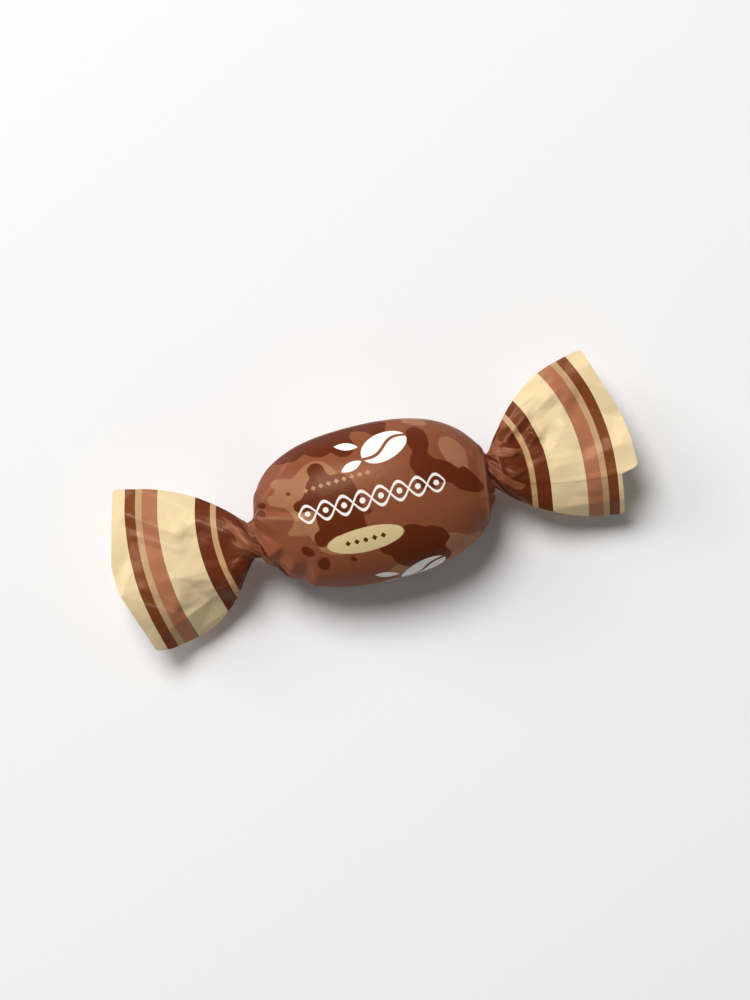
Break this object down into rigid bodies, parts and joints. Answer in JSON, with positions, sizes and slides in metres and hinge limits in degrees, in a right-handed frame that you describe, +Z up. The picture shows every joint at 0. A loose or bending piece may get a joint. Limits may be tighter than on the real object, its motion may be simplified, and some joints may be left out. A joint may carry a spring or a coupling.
{
  "type": "wrapped caramel candy",
  "caption": "Oval caramel shut in one sheet of striped film, twisted at both ends into flattened fans with open cut edges.",
  "frame": {"origin": "middle of the flat spot under the candy's belly, where it rests", "axes": "+X from the left twist to the right twist, +Z up out of the side that shows, +Y across"},
  "size_m": [0.0747, 0.0245, 0.0158],
  "materials": {
    "wrapper": "satin printed film, brown with cream bands on the fans"
  },
  "bodies": {
    "root": {"wrapped_candy": "wrapper"}
  },
  "joints": []
}
